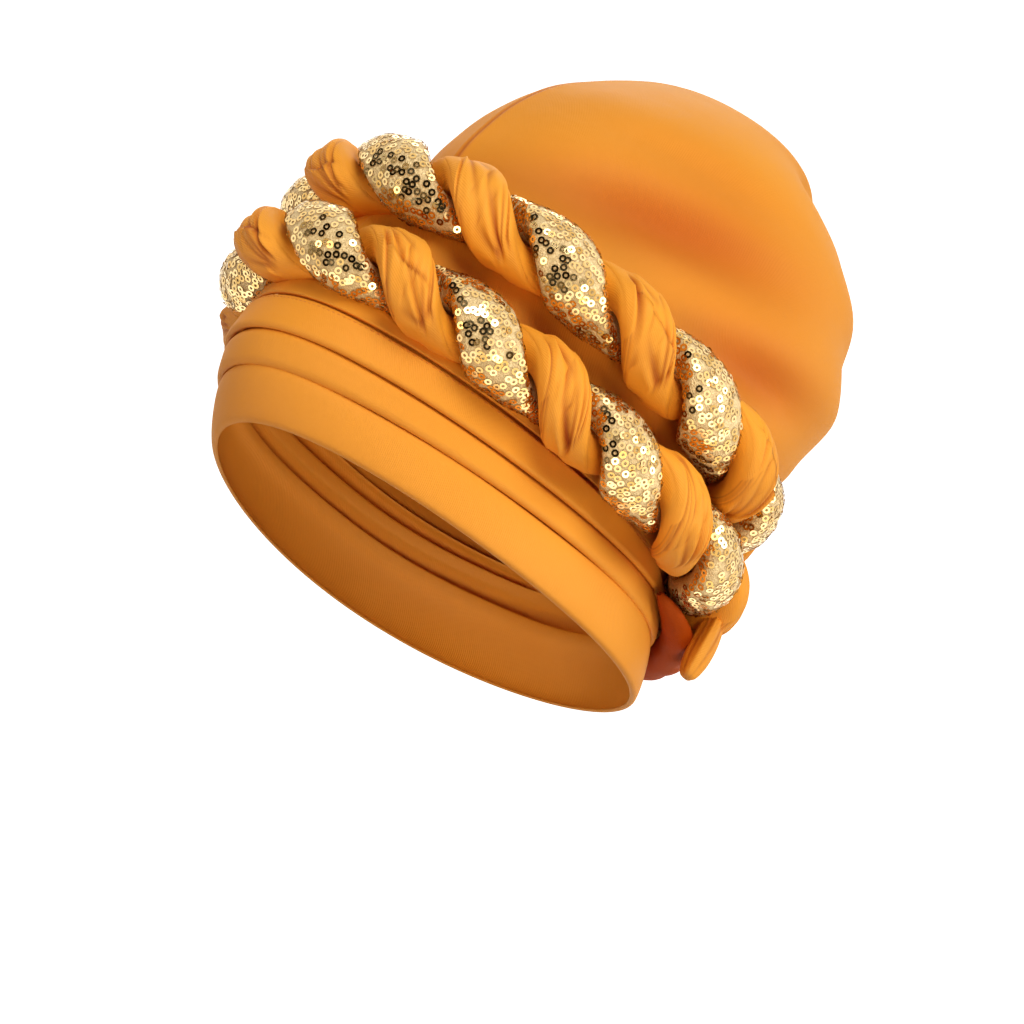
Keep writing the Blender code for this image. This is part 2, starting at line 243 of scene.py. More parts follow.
def smooth_rows(table, level, closed=False):
    """The table's columns at an array of levels, on a smooth curve through its rows."""
    rows = np.array(table, float)
    count = len(rows)
    low = np.floor(level).astype(int)
    if not closed:
        low = np.clip(low, 0, count - 2)
    t = (level - low)[:, None]

    def row(index):
        return rows[index % count] if closed else rows[np.clip(index, 0, count - 1)]

    p0, p1, p2, p3 = row(low - 1), row(low), row(low + 1), row(low + 2)
    bend = 2 * p0 - 5 * p1 + 4 * p2 - p3 + t * (3 * (p1 - p2) + p3 - p0)
    return (p1 + 0.5 * t * (p2 - p0 + t * bend)).T


def ring_places(ring, angle):
    """Places on a ring at an array of angles, from 0 in front round by the left."""
    side = ring.half_width * np.sin(angle) * (1 - ring.egg * np.cos(angle))
    back = ring.centre - ring.half_length * np.cos(angle)
    rise = ring.rise + ring.front * np.cos(angle) + ring.bow * np.cos(2 * angle)
    return np.stack(np.broadcast_arrays(side, back, rise), axis=1)


def ring_outwards(ring, angle):
    """The level directions that point straight out from a ring at those angles."""
    slope = np.cos(angle) - ring.egg * np.cos(2 * angle)
    side, back = ring.half_length * np.sin(angle), -ring.half_width * slope
    size = np.hypot(side, back)
    return np.stack([side / size, back / size, np.zeros_like(angle)], axis=1)


def clear_of_ropes(places, outwards, angle):
    """The places, pressed inward where they would be nearer to a rope than its bed."""
    for line in (LOWER_ROPE_LINE, UPPER_ROPE_LINE):
        for _ in range(2):
            nearest = np.full(len(places), np.inf)
            away = np.zeros_like(places)
            for turn in np.radians(np.arange(-ROPE_SEARCH, ROPE_SEARCH + 1)):
                gap = places - ring_places(line, angle + turn)
                size = np.linalg.norm(gap, axis=1)
                closer = size < nearest
                nearest[closer], away[closer] = size[closer], gap[closer]
            along = (away * outwards).sum(axis=1)
            reach = along**2 - nearest**2 + ROPE_BED**2
            inward = along + np.sqrt(np.maximum(reach, 0))
            places = places - outwards * np.where(nearest < ROPE_BED, inward, 0)[:, None]
    return places


def cloth_sheet(columns, rows, form, flat_size, crowd=0, painted_shade=None):
    """A grid of cloth laid on form(u, v), whose UV map is the flat cloth's, in metres.

    crowd draws the columns together where u is near 0, a half and 1. The last argument, a
    function of u and v, gives the painted shade in the cloth's folds, which the mesh keeps as
    its attribute crease.
    """
    mesh = bmesh.new()
    layer = mesh.loops.layers.uv.new("cloth")
    bmesh.ops.create_grid(mesh, x_segments=columns, y_segments=rows, size=0.5)
    flat = np.array([vertex.co for vertex in mesh.verts]) + 0.5
    flat[:, 0] -= crowd * np.sin(4 * np.pi * flat[:, 0])
    if painted_shade:
        painted_shade_layer = mesh.verts.layers.float.new("crease")
        for vertex, crease in zip(mesh.verts, painted_shade(flat[:, 0], flat[:, 1])):
            vertex[painted_shade_layer] = crease
    mesh.verts.index_update()
    for face in mesh.faces:
        for loop in face.loops:
            u, v, _ = flat[loop.vert.index]
            loop[layer].uv = (u * flat_size[0], v * flat_size[1])
    for vertex, spot in zip(mesh.verts, form(flat[:, 0], flat[:, 1])):
        vertex.co = spot
    bmesh.ops.remove_doubles(mesh, verts=mesh.verts, dist=1e-6)
    bmesh.ops.recalc_face_normals(mesh, faces=mesh.faces)
    return mesh


def finish_piece(name, mesh, material, slot, *nodes):
    """The finished piece, smooth, which rides on the hat and stands for CAD nodes."""
    data = bpy.data.meshes.new(name)
    mesh.to_mesh(data)
    mesh.free()
    data.shade_smooth()
    data.materials.append(material)
    piece = bpy.data.objects.new(name, data)
    bpy.context.scene.collection.objects.link(piece)
    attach(piece, "root")
    if nodes:
        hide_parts(*nodes)
    return piece


class Shade:
    """A socket of a material's nodes, on which Python's operators add Math nodes."""

    # A Mix node's sockets and output for colours, which go by their numbers.
    MIX_SHARE, MIX_FIRST, MIX_SECOND, MIX_RESULT = 0, 6, 7, 2

    def __init__(self, tree, socket=None):
        self.tree, self.socket = tree, socket

    def node(self, kind, settings, sockets, output=0):
        """A new node, its settings made first and then its sockets' values or links."""
        made = self.tree.nodes.new(kind)
        for name, value in settings.items():
            setattr(made, name, value)
        for name, value in sockets.items():
            if isinstance(value, Shade):
                self.tree.links.new(value.socket, made.inputs[name])
            else:
                made.inputs[name].default_value = value
        return Shade(self.tree, made.outputs[output])

    def maths(self, operation, *values):
        return self.node("ShaderNodeMath", {"operation": operation}, dict(enumerate(values)))

    def place(self):
        return self.node("ShaderNodeTexCoord", {}, {}, "Object")

    def attribute(self, name):
        return self.node("ShaderNodeAttribute", {"attribute_name": name}, {}, "Fac")

    def noise(self, place, scale, detail=2):
        sockets = {"Vector": place, "Scale": scale, "Detail": detail}
        return self.node("ShaderNodeTexNoise", {}, sockets)

    def mix(self, share, first, second):
        colours = {self.MIX_SHARE: share, self.MIX_FIRST: first, self.MIX_SECOND: second}
        return self.node("ShaderNodeMix", {"data_type": "RGBA"}, colours, self.MIX_RESULT)

    def bump(self, height):
        """The normals of a surface that stands up by a height in mm."""
        return self.node("ShaderNodeBump", {}, {"Height": height, "Distance": MM})

    def __add__(self, other):
        return self.maths("ADD", self, other)

    def __sub__(self, other):
        return self.maths("SUBTRACT", self, other)

    def __rsub__(self, other):
        return self.maths("SUBTRACT", other, self)

    def __mul__(self, other):
        return self.maths("MULTIPLY", self, other)

    __radd__ = __add__
    __rmul__ = __mul__


def new_finish(name):
    """A new material: its Principled shader and the start of its shader maths."""
    material = bpy.data.materials.new(name)
    material.use_nodes = True
    shader = material.node_tree.nodes["Principled BSDF"]
    return material, shader, Shade(material.node_tree)


def wire(shader, name, value):
    """Links a worked-out value to one of the shader's sockets."""
    value.tree.links.new(value.socket, shader.inputs[name])


def satin_knit(
        name, dark, light, wrinkle=WRINKLE_HEIGHT, deep=None,
        specular=SATIN_SPECULAR, sheen=SATIN_SHEEN):
    """The orange satin knit: fine slanting ribs, a soft sheen and faint unevenness.

    wrinkle is the height in mm of its small wrinkles. Where the cloth's attribute crease holds
    painted shade, its colour is mixed towards deep, the painted shade colour of its folds.
    """
    material, shader, shade = new_finish(name)
    place = shade.place()
    flat = shade.node("ShaderNodeUVMap", {"uv_map": "cloth"}, {})
    u = shade.node("ShaderNodeSeparateXYZ", {}, {0: flat}, 0)
    v = shade.node("ShaderNodeSeparateXYZ", {}, {0: flat}, 1)
    ribs = shade.maths("SINE", (u + v) * (2 * math.pi / (RIB_PITCH * MM)))
    broad = shade.noise(place, BROAD_SCALE, 1)
    wrinkles = shade.noise(place, WRINKLE_SCALE, 3)
    grain = shade.noise(place, GRAIN_SCALE, 1)
    colour = shade.mix(broad * 0.7 + grain * 0.3, dark, light)
    # Painted shade: the colour is mixed towards deep where the attribute crease is high.
    if deep:
        colour = shade.mix(shade.attribute("crease"), colour, deep)
    wire(shader, "Base Color", colour)
    wire(shader, "Roughness", SATIN_ROUGHNESS + 0.12 * grain)
    height = ribs * RIB_HEIGHT + wrinkles * wrinkle + grain * GRAIN_HEIGHT
    wire(shader, "Normal", shade.bump(height))
    shader.inputs["Specular IOR Level"].default_value = specular
    shader.inputs["Sheen Weight"].default_value = sheen
    shader.inputs["Sheen Roughness"].default_value = SATIN_SHEEN_ROUGHNESS
    shader.inputs["Sheen Tint"].default_value = SATIN_SHEEN_TINT
    return material


def strip_form(section):
    """The form of a folded strip: u goes round the hat and v round its section."""

    def form(u, v):
        angle = 2 * np.pi * u
        level, out = smooth_rows(section, v * len(section), closed=True)
        sway = sum(
            wave.height * np.sin(wave.count * angle + wave.phase) for wave in STRIP_WAVES)
        level = level + sway * np.clip(level - level.min(), 0, WAVES_FULL_ABOVE)
        ring = Ring(*smooth_rows(BAND_RINGS, level))
        outwards = ring_outwards(ring, angle)
        places = clear_of_ropes(ring_places(ring, angle), outwards, angle)
        return to_world(places + outwards * out[:, None])

    return form


orange_cloth = satin_knit("orange_cloth", CLOTH_ORANGE, CLOTH_LIGHT)
for name, section, folded, below in STRIPS:
    mesh = cloth_sheet(
        STRIP_COLUMNS, STRIP_ROWS, strip_form(section), (STRIP_LENGTH * MM, 2 * folded * MM))
    piece = finish_piece(name + "_cloth", mesh, orange_cloth, "orange_cloth", name)


# The crown: a big soft bag of two panels of the same satin knit, sewn together along its
# middle from the front over the top to the nape. It leans back, and its cloth sinks
# into broad shallow folds that run round it.
CROWN_RINGS = (
    Ring(86, -22, 121, 53.5, 2, 1.5, 0.12),
    Ring(86, -20, 119, 61, 6, 2, 0.13),
    Ring(88, -15, 113, 78, 12, 3, 0.15),
    Ring(90, -12, 108, 95, 16, 2, 0.15),
    Ring(92, -8, 103, 112, 18, 2, 0.14),
    Ring(96, 5, 104, 128, 15, 1, 0.14),
    Ring(97, 15, 110, 143, 10, 0, 0.14),
    Ring(97, 21, 115, 159, 5, 0, 0.14),
    Ring(93, 24, 114, 178, 0, 0, 0.13),
    Ring(85, 25, 106, 201, -2, 0, 0.12),
    Ring(75, 25.5, 91.5, 223, -3, 0, 0.12),
    Ring(63, 31, 77, 242, -4.5, 0, 0.12),
    Ring(48, 36, 61, 257, -4, 0, 0.12),
    Ring(27, 37, 39, 269, -3, 0, 0.10),
    Ring(0, 36, 0, 274, 0, 0, 0),
)
CROWN_COLUMNS = 264
CROWN_ROWS = 124
CROWN_CROWD = 0.048
CROWN_WALL = 1.7
CROWN_FLAT = (0.64, 0.33)

# The seam in mm: a ridge with a crease along it. It starts and is full at these rises, and
# at the top the ridge fades out below its end, while the crease goes on over the top.
SEAM_RIDGE = 3.2
SEAM_RIDGE_WIDTH = 6
SEAM_CREASE = 1.4
SEAM_CREASE_WIDTH = 1.3
SEAM_STARTS = 90
SEAM_FULL = 120
SEAM_RIDGE_ENDS = 268
SEAM_RIDGE_FADE = 12
# How much painted shade lies along the seam's crease.
SEAM_SHADE = 0.8

# The painted shade deep in the crown's folds: its colour, and how much of it the first three
# have.
PAINTED_FOLD_SHADE = (0.50, 0.118, 0.007, 1)
FOLD_SHADES = (0.9, 0.8, 0.25)
FOLD_SHADE_SPREAD = 1.5
FOLD_SHADE_RISE = -3

# A fold of the crown's cloth, or a swelling beside one where its depth is negative: its
# middle's angle and rise, its half spans, the rise for each degree round, and its depth.
Hollow = namedtuple("Hollow", "angle rise half_angle half_rise slant depth")
HOLLOWS = (
    Hollow(62, 170, 38, 15, 0.36, 7.5),
    Hollow(100, 137, 24, 12, 0.25, 6),
    Hollow(66, 209, 30, 10, 0.15, 2.2),
    Hollow(128, 254, 36, 12, 0, 17),
    Hollow(118, 236, 24, 12, 0, 4.1),
    Hollow(130, 209, 18, 11, 0, -2.3),
    Hollow(138, 188, 18, 10, 0, 2.2),
    Hollow(140, 164, 16, 9, 0, -1.7),
    Hollow(157, 128, 20, 12, 0, -5.7),
    Hollow(172, 226, 22, 12, -0.1, 4),
    Hollow(176, 176, 22, 12, 0, 4),
    Hollow(-76, 172, 42, 12, -0.4, 5.5),
    Hollow(-110, 136, 28, 10, -0.2, 4.5),
    Hollow(-62, 212, 28, 9, -0.15, 2.5),
    Hollow(-138, 204, 30, 13, 0.2, 4.5),
)
HOLLOW_FADE = 4


def crown_spots(u, v):
    """The ring, angle, middle places and outward directions of the crown's grid."""
    angle = 2 * np.pi * (u - 0.5)
    ring = Ring(*smooth_rows(CROWN_RINGS, v * (len(CROWN_RINGS) - 1)))
    ring = ring._replace(
        half_width=np.maximum(ring.half_width, 0), half_length=np.maximum(ring.half_length, 0))
    wider = ring._replace(half_width=ring.half_width + 1, half_length=ring.half_length + 1)
    return angle, ring_places(ring, angle), ring_outwards(wider, angle)


def sunk_in(hollow, angle, rise):
    """A hollow's share at each angle and rise, 1 in its middle."""
    turn = (np.degrees(angle) - hollow.angle + 180) % 360 - 180
    climb = (rise - hollow.rise - hollow.slant * turn) / hollow.half_rise
    return np.exp(-((turn / hollow.half_angle) ** 2) - climb**2)


def crown_form(u, v):
    """The crown's outer form: u goes round it from the nape, and v up from its hem."""
    angle, places, outwards = crown_spots(u, v)
    side, rise = places[:, 0], places[:, 2]
    shown = np.clip((rise - SEAM_STARTS) / (SEAM_FULL - SEAM_STARTS), 0, 1)
    below_top = np.clip((SEAM_RIDGE_ENDS - rise) / SEAM_RIDGE_FADE, 0, 1)
    crease = SEAM_CREASE * np.exp(-(side / SEAM_CREASE_WIDTH) ** 2) * shown
    ridge = SEAM_RIDGE * np.exp(-np.abs(side) / SEAM_RIDGE_WIDTH) * shown
    sunk = (crease - ridge) * below_top
    for hollow in HOLLOWS:
        depth = hollow.depth * np.clip((CROWN_RINGS[-1].rise - rise) / HOLLOW_FADE, 0, 1)
        sunk += depth * sunk_in(hollow, angle, rise)
    places = places - outwards * sunk[:, None]
    places[:, 2] -= crease * (1 - below_top)
    return to_world(clear_of_ropes(places, outwards, angle))


def crown_shade(u, v):
    """How much painted shade the crown's cloth gets, deep in its long folds and along the line
    of its seam.
    """
    angle, places, _ = crown_spots(u, v)
    side, rise = places[:, 0], places[:, 2]
    deep = 0
    for share, hollow in zip(FOLD_SHADES, HOLLOWS):
        spread = hollow._replace(half_rise=hollow.half_rise * FOLD_SHADE_SPREAD)
        deep = deep + share * sunk_in(spread, angle, rise + FOLD_SHADE_RISE)
    seam = np.exp(-(side / SEAM_CREASE_WIDTH) ** 2) * (rise > SEAM_FULL)
    return np.clip(deep + SEAM_SHADE * seam, 0, 1)


def thicken(piece, wall, offset):
    """Gives cloth its wall in mm: within its form at offset -1, and centred on it at 0."""
    solid = piece.modifiers.new("cloth", "SOLIDIFY")
    solid.thickness = wall * MM
    solid.offset = offset


# The crown's cloth is painted darker deep in its folds and along its seam, as painted shade.
crown_mesh = cloth_sheet(
    CROWN_COLUMNS, CROWN_ROWS, crown_form, CROWN_FLAT, crowd=CROWN_CROWD, painted_shade=crown_shade)
crown_cloth = satin_knit("crown_cloth", CLOTH_ORANGE, CLOTH_LIGHT, deep=PAINTED_FOLD_SHADE)
crown = finish_piece(
    "crown_cloth", crown_mesh, crown_cloth, "orange_cloth",
    "crown_left_panel", "crown_right_panel",
)
thicken(crown, CROWN_WALL, -1)


# The stitches that sew the crown to the top pleat: a row of short bars of orange thread
# just under the pleat's upper edge. Sizes are in mm, and V is their place on its section.
STITCH_SIZE = (1.0, 0.26, 0.2)
STITCH_PITCH = 3.0
STITCH_V = 0.43
STITCH_STEP = 1e-3
THREAD_DARK = (0.50, 0.13, 0.008, 1)
THREAD_LIGHT = (0.80, 0.30, 0.03, 1)


def unit(vectors):
    return vectors / np.linalg.norm(vectors, axis=1)[:, None]


def outward_side(normal, away):
    """The normals, each turned round where it points against its direction away."""
    return normal * np.sign((normal * away).sum(axis=1))[:, None]


def corners_and_faces(mesh):
    """A finished small shape as the arrays of its corners and of its faces."""
    mesh.verts.index_update()
    corners = np.array([vertex.co for vertex in mesh.verts])
    faces = np.array([[vertex.index for vertex in face.verts] for face in mesh.faces])
    mesh.free()
    return corners, faces


def joined_copies(shape, spots, axes, tones=None):
    """One mesh of a small shape's copies, each at its spot in mm and turned to its axes.

    The tones, one for each copy, are kept as the mesh's attribute tone.
    """
    corners, faces = shape
    places = spots[:, None, :] + np.einsum("pk,ckx->cpx", corners, axes)
    numbers = faces[None] + (np.arange(len(spots)) * len(corners))[:, None, None]
    data = bpy.data.meshes.new("copies")
    data.from_pydata(
        (places.reshape(-1, 3) * MM).tolist(), [],
        numbers.reshape(-1, faces.shape[1]).tolist(),
    )
    if tones is not None:
        layer = data.attributes.new("tone", "FLOAT", "POINT")
        layer.data.foreach_set("value", np.repeat(tones, len(corners)))
    mesh = bmesh.new()
    mesh.from_mesh(data)
    bpy.data.meshes.remove(data)
    return mesh


def one_stitch():
    mesh = bmesh.new()
    bmesh.ops.create_icosphere(mesh, subdivisions=1, radius=1)
    bmesh.ops.scale(mesh, verts=mesh.verts, vec=STITCH_SIZE)
    return corners_and_faces(mesh)


def stitch_spots():
    """Where the stitches lie on the top pleat, in mm, and their axes."""
    form = strip_form(UPPER_PLEAT_SECTION)
    count = round(STRIP_LENGTH / STITCH_PITCH)
    u, v = np.arange(count) / count, np.full(count, STITCH_V)
    spots = form(u, v)
    along = unit(form(u + STITCH_STEP, v) - spots)
    upward = form(u, v + STITCH_STEP) - spots
    normal = outward_side(unit(np.cross(along, upward)), spots)
    return spots / MM, np.stack([along, np.cross(normal, along), normal], axis=1)


thread, shader, shade = new_finish("orange_thread")
fibres = shade.noise(shade.place(), 2500, 1)
wire(shader, "Base Color", shade.mix(fibres, THREAD_DARK, THREAD_LIGHT))
shader.inputs["Roughness"].default_value = 0.5
stitches = joined_copies(one_stitch(), *stitch_spots())
finish_piece("crown_seam_stitches", stitches, thread, "orange_cloth")


# The nape pouch: the crown's cloth hanging in a loose fold under the ropes at the back, where
# it is gathered and tucked under itself. Its cloth is painted a deeper orange, as painted
# shade.
POUCH_PAINTED_SHADE_DARK = (0.30, 0.042, 0.003, 1)
POUCH_PAINTED_SHADE_LIGHT = (0.62, 0.135, 0.008, 1)
PouchCorner = namedtuple("PouchCorner", "out rise")
POUCH_SECTION = (
    PouchCorner(3.0, 34), PouchCorner(3.2, 31), PouchCorner(5.5, 26.5),
    PouchCorner(10, 24.5), PouchCorner(15.5, 25.5), PouchCorner(19.5, 29),
    PouchCorner(20.5, 33.5), PouchCorner(17.5, 37.4), PouchCorner(11.5, 39),
    PouchCorner(5.5, 37.8),
)
POUCH_MOUTH = PouchCorner(3.0, 37)
POUCH_MIDDLE = math.radians(172)
POUCH_HALF_ANGLE = 48
POUCH_END_TURN = 86
POUCH_COLUMNS = 110
POUCH_ROWS = 40
POUCH_PLEATS = 11
POUCH_PLEAT_DEPTH = 0.6
POUCH_PLEAT_SWAY = 0.8
POUCH_WALL = 1.2
POUCH_FLAT = (0.17, 0.05)


def pouch_form(u, v):
    """The pouch's form: u goes round the nape and v along its section."""
    turn = np.radians(POUCH_END_TURN) * (2 * u - 1)
    angle = POUCH_MIDDLE + np.radians(POUCH_HALF_ANGLE) * np.sin(turn)
    size = np.cos(turn)
    out, rise = smooth_rows(POUCH_SECTION, v * (len(POUCH_SECTION) - 1))
    sway = POUCH_PLEAT_SWAY * np.sin(9 * v)
    gather = np.sin(POUCH_PLEATS * np.pi * np.sin(turn) + sway)
    full = size * np.sin(np.pi * np.clip(v, 0, 1))
    out = out + POUCH_PLEAT_DEPTH * gather * full
    out = POUCH_MOUTH.out + (out - POUCH_MOUTH.out) * size
    rise = POUCH_MOUTH.rise + (rise - POUCH_MOUTH.rise) * size
    ring = Ring(*BAND_RINGS[1])._replace(rise=rise, front=0, bow=0)
    places = ring_places(ring, angle) + ring_outwards(ring, angle) * out[:, None]
    return to_world(places)


pouch_mesh = cloth_sheet(POUCH_COLUMNS, POUCH_ROWS, pouch_form, POUCH_FLAT)
shaded_cloth = satin_knit(
    "shaded_orange_cloth", POUCH_PAINTED_SHADE_DARK, POUCH_PAINTED_SHADE_LIGHT, specular=0.05, sheen=0)
pouch = finish_piece(
    "nape_pouch_cloth", pouch_mesh, shaded_cloth, "orange_cloth", "nape_pouch")
thicken(pouch, POUCH_WALL, 0)


# The ropes' cloth strands: tubes of the same satin knit, stuffed soft, each twisted with
# a sequin strand. The cloth is gathered where the other strand crosses it, and its folds
# run along the tube from there and fade out over the padding.
STRAND_WIDTH = 30.0
STRAND_DEPTH = 15.6
STRAND_GAP = 0.7
STRAND_CLOTH_WIDTH = 75

# Each rope, its middle line, its whole turns of twist, where its sequin strand is
# outermost in mm along it, and by how many radians its twist is unevenly spread.
Rope = namedtuple("Rope", "name line turns sequin_at tighter")
ROPES = (
    Rope("lower_rope", LOWER_ROPE_LINE, 9, 93, 0.46),
    Rope("upper_rope", UPPER_ROPE_LINE, 9, 99, -0.50),
)
ROPE_FINE_STEPS = 2880
ANGLE_STEP = 1e-3
CLOTH_STRAND_COLUMNS = 900
CLOTH_STRAND_ROWS = 84
ROWS_CROWDED_OUTSIDE = 0.38

# How the stuffing fills a strand, in mm: the half turn that sets it against the other
# strand, how full it is, how far its outermost part swells and by how much of that at its
# sides, how much it narrows where it dips, and how far its edges lean outward.
Padding = namedtuple("Padding", "half_turn fullness swell round_side taper lean")
CLOTH_PADDING = Padding(math.pi, 2.8, 1.4, 0.2, 2.4, -0.6)
NET_PADDING = Padding(0, 1.6, 1.8, 0.75, 0.6, -3.8)

# The strands' satin knit, painted lighter than the band's and crown's, as painted light.
PAINTED_LIT_ORANGE = (0.82, 0.332, 0.029, 1)
PAINTED_LIT_PALE_ORANGE = (0.92, 0.418, 0.052, 1)
# The painted shade colour in the strands' folds.
PAINTED_CREASE_SHADE = (0.40, 0.085, 0.006, 1)
PADDED_WRINKLE = 0.3
FOLD_SEED = 5

# The folds that start on both sides of a crossing. Starts and reaches along the rope are
# in turns of its twist, depths in mm, and widths and places round the strand in radians.
GATHERS = (5, 3)
GATHER_REACH = (0.12, 0.26)
GATHER_START = 0.2
GATHER_OVER_MIDDLE = 0.06
GATHER_DEPTH = (0.9, 1.9)
GATHER_WIDTH = (0.07, 0.14)
GATHER_PINCHED_AT = (0.1, 0.7)
GATHER_FAN = 1.3
QUARTER_TURN = 0.25
EDGE_FOLDS = 3
EDGE_FOLD_AT = 1.5
EDGE_FOLD_STEP = 0.2
EDGE_FOLD_REACH = 1.3
EDGE_FOLD_DEPTH = 0.6
PINCH_DEPTH = 1.2
PINCH_SPAN = 0.06
UNEVEN_HEIGHT = 0.3

# The broad fold that lies over itself across some swellings: in what share of them, its
# slope in turns a radian, its depth, and the mm over which it falls away on both sides.
OVERLAP_SHARE = 0.35
OVERLAP_SLOPE = (0.12, 0.20)
OVERLAP_DEPTH = (1.4, 2.2)
OVERLAP_FALL = 7
OVERLAP_EDGE = 1.5
# How much painted shade lies along its edge.
OVERLAP_PAINTED_SHADE = 0.6
OVERLAP_HALF_WIDTH = 0.95
TURN_LENGTH = 80


class RopeCourse:
    """A rope's middle line round the hat, by its share of the way round."""

    def __init__(self, rope):
        self.rope = rope
        self.angles = np.linspace(0, 2 * np.pi, ROPE_FINE_STEPS + 1)
        spots = to_world(ring_places(rope.line, self.angles)) / MM
        steps = np.linalg.norm(np.diff(spots, axis=0), axis=1)
        self.lengths = np.concatenate([[0], np.cumsum(steps)])
        self.length = self.lengths[-1]

    def frames(self, share):
        """Middle points, and the directions along, outward and across, at shares."""
        line = self.rope.line
        angle = np.interp(share % 1 * self.length, self.lengths, self.angles)
        middle = to_world(ring_places(line, angle)) / MM
        step = ring_places(line, angle + ANGLE_STEP) - ring_places(line, angle - ANGLE_STEP)
        along = unit(to_world(step))
        outward = to_world(ring_outwards(line, angle)) / MM
        outward = unit(outward - along * (outward * along).sum(axis=1)[:, None])
        return middle, along, outward, np.cross(along, outward)

    def turn(self, share):
        """The twist in radians: the sequin strand is outermost at whole turns."""
        past = share - self.rope.sequin_at / self.length
        uneven = self.rope.tighter * np.sin(2 * np.pi * past)
        return 2 * np.pi * self.rope.turns * past + uneven


def strand_surface(course, padding, share, around, raised):
    """Points on a strand, raised square to its leaning oval section."""
    middle, along, outward, across = course.frames(share)
    turn = course.turn(share) + padding.half_turn
    cos_turn, sin_turn = np.cos(turn)[:, None], np.sin(turn)[:, None]
    reach = outward * cos_turn + across * sin_turn
    beside = np.cross(along, reach)
    cos_round, sin_round = np.cos(around)[:, None], np.sin(around)[:, None]
    middle = middle + reach * ((STRAND_DEPTH + STRAND_GAP) / 2 + padding.lean * sin_round**2)
    normal = unit(reach * cos_round / STRAND_DEPTH + beside * sin_round / STRAND_WIDTH)
    oval = reach * cos_round * STRAND_DEPTH / 2 + beside * sin_round * STRAND_WIDTH / 2
    return middle + oval + normal * raised[:, None]


def swelling(course, padding, share, around):
    """How far the padding swells a strand, which narrows where it dips under the other."""
    outermost = np.cos(course.turn(share) + padding.half_turn)
    swell = padding.swell * outermost * np.clip(np.cos(around) + padding.round_side, 0, 1)
    narrowed = padding.taper * np.clip(1 - outermost, 0, 1.3) * np.abs(np.sin(around)) ** 1.5
    return padding.fullness * np.clip(np.cos(around), 0, 1) + swell - narrowed


def fold(x, across, width, depth):
    """The height and painted crease shade of a narrow fold that starts at x = 0 and has faded
    at 1.

    It is a valley with a low shoulder on each side, and it widens on its way. across is
    the angle from it in radians.
    """
    off = np.abs(across) / (width * (1 + 0.8 * np.clip(x, 0, 1)))
    fade = np.clip(1 - x, 0, 1) ** 0.7 * np.clip((x + 0.25) / 0.25, 0, 1)
    valley = 0.5 * np.exp(-((off - 2.2) ** 2)) - np.exp(-(off**1.3))
    return np.stack([depth * fade * valley, 0.75 * fade * np.exp(-((off / 0.6) ** 2))])


def overlap(turns, around, outermost, dice):
    """The height and painted crease shade of a broad fold that lies over itself across a
    swelling.
    """
    slope = -dice.uniform(*OVERLAP_SLOPE)
    middle = outermost + dice.uniform(-0.05, 0.05)
    bowed = 0.02 * np.sin(2 * around + dice.uniform(0, 6))
    past = (turns - middle - slope * around - bowed) * TURN_LENGTH
    step = np.where(past > 0, np.exp(-past / OVERLAP_FALL), -np.exp(past / OVERLAP_EDGE))
    off = (around - dice.uniform(-0.3, 0.3)) / OVERLAP_HALF_WIDTH
    height = dice.uniform(*OVERLAP_DEPTH) * step
    crease = OVERLAP_PAINTED_SHADE * np.exp(-(((past + 0.3) / 0.8) ** 2))
    return np.stack([height, crease]) * np.exp(-(off**4))


def gathers(course, share, around, seed):
    """How far a cloth strand's surface stands up, and the painted shade in its folds.

    The folds repeat after the rope's whole turns, so that the tube closes on itself.
    """
    rope_turns = course.rope.turns
    turns = (course.turn(share) + CLOTH_PADDING.half_turn) / (2 * np.pi)
    around = (around + np.pi) % (2 * np.pi) - np.pi
    once_round = 2 * np.pi * turns / rope_turns
    uneven = np.sin(24 * once_round + 2 * around) * np.sin(7 * once_round + 1)
    found = np.stack([UNEVEN_HEIGHT * uneven, 0 * turns])
    first = math.floor(turns.min()) - 1
    for outermost in range(first, first + rope_turns + 3):
        dice = np.random.default_rng((seed, outermost % rope_turns))
        many, few = GATHERS if dice.random() < 0.5 else GATHERS[::-1]
        for side, count in ((-1, many), (1, few)):
            inwards = (GATHER_START - np.abs(turns - outermost)) / QUARTER_TURN
            at_side = (turns - outermost) * side > -GATHER_OVER_MIDDLE
            pinched_at = -side * dice.uniform(*GATHER_PINCHED_AT)
            for number in range(count):
                reach = dice.uniform(*GATHER_REACH) / QUARTER_TURN
                fan = GATHER_FAN * (2 * (number + dice.uniform(0, 1)) / count - 1)
                x = inwards / reach
                centre = pinched_at + fan * (0.25 + 0.75 * np.clip(x, 0, 1))
                width, depth = dice.uniform(*GATHER_WIDTH), dice.uniform(*GATHER_DEPTH)
                found += at_side * fold(x, around - centre, width, depth)
            for number in range(EDGE_FOLDS if count == few else 0):
                off = around - side * (EDGE_FOLD_AT - EDGE_FOLD_STEP * number)
                x = inwards / EDGE_FOLD_REACH
                found += at_side * fold(x, off, GATHER_WIDTH[0], EDGE_FOLD_DEPTH)
            pinch = outermost + side * QUARTER_TURN
            found[0] -= PINCH_DEPTH / 2 * np.exp(-(((turns - pinch) / PINCH_SPAN) ** 2))
        if dice.random() < OVERLAP_SHARE:
            found += overlap(turns, around, outermost, dice)
    found[1] = np.clip(found[1], 0, 1)
    return found


def strand_form(course, padding, heights):
    """The form of a strand: u goes along its rope and v round the strand.

    heights(u, around) is how far its cover stands up in mm, which it does only outside.
    """

    def form(u, v):
        around = strand_round(v)
        raised = heights(u, around)
        outer = np.clip(np.cos(around) + 0.3, 0, 1)
        raised = np.where(raised > 0, raised * outer, raised)
        raised = raised + swelling(course, padding, u, around)
        return strand_surface(course, padding, u, around, raised) * MM

    return form


def strand_round(v):
    """The angle round a strand, its rows nearer together on the strand's outer side."""
    return 2 * np.pi * v - ROWS_CROWDED_OUTSIDE * np.sin(2 * np.pi * v)


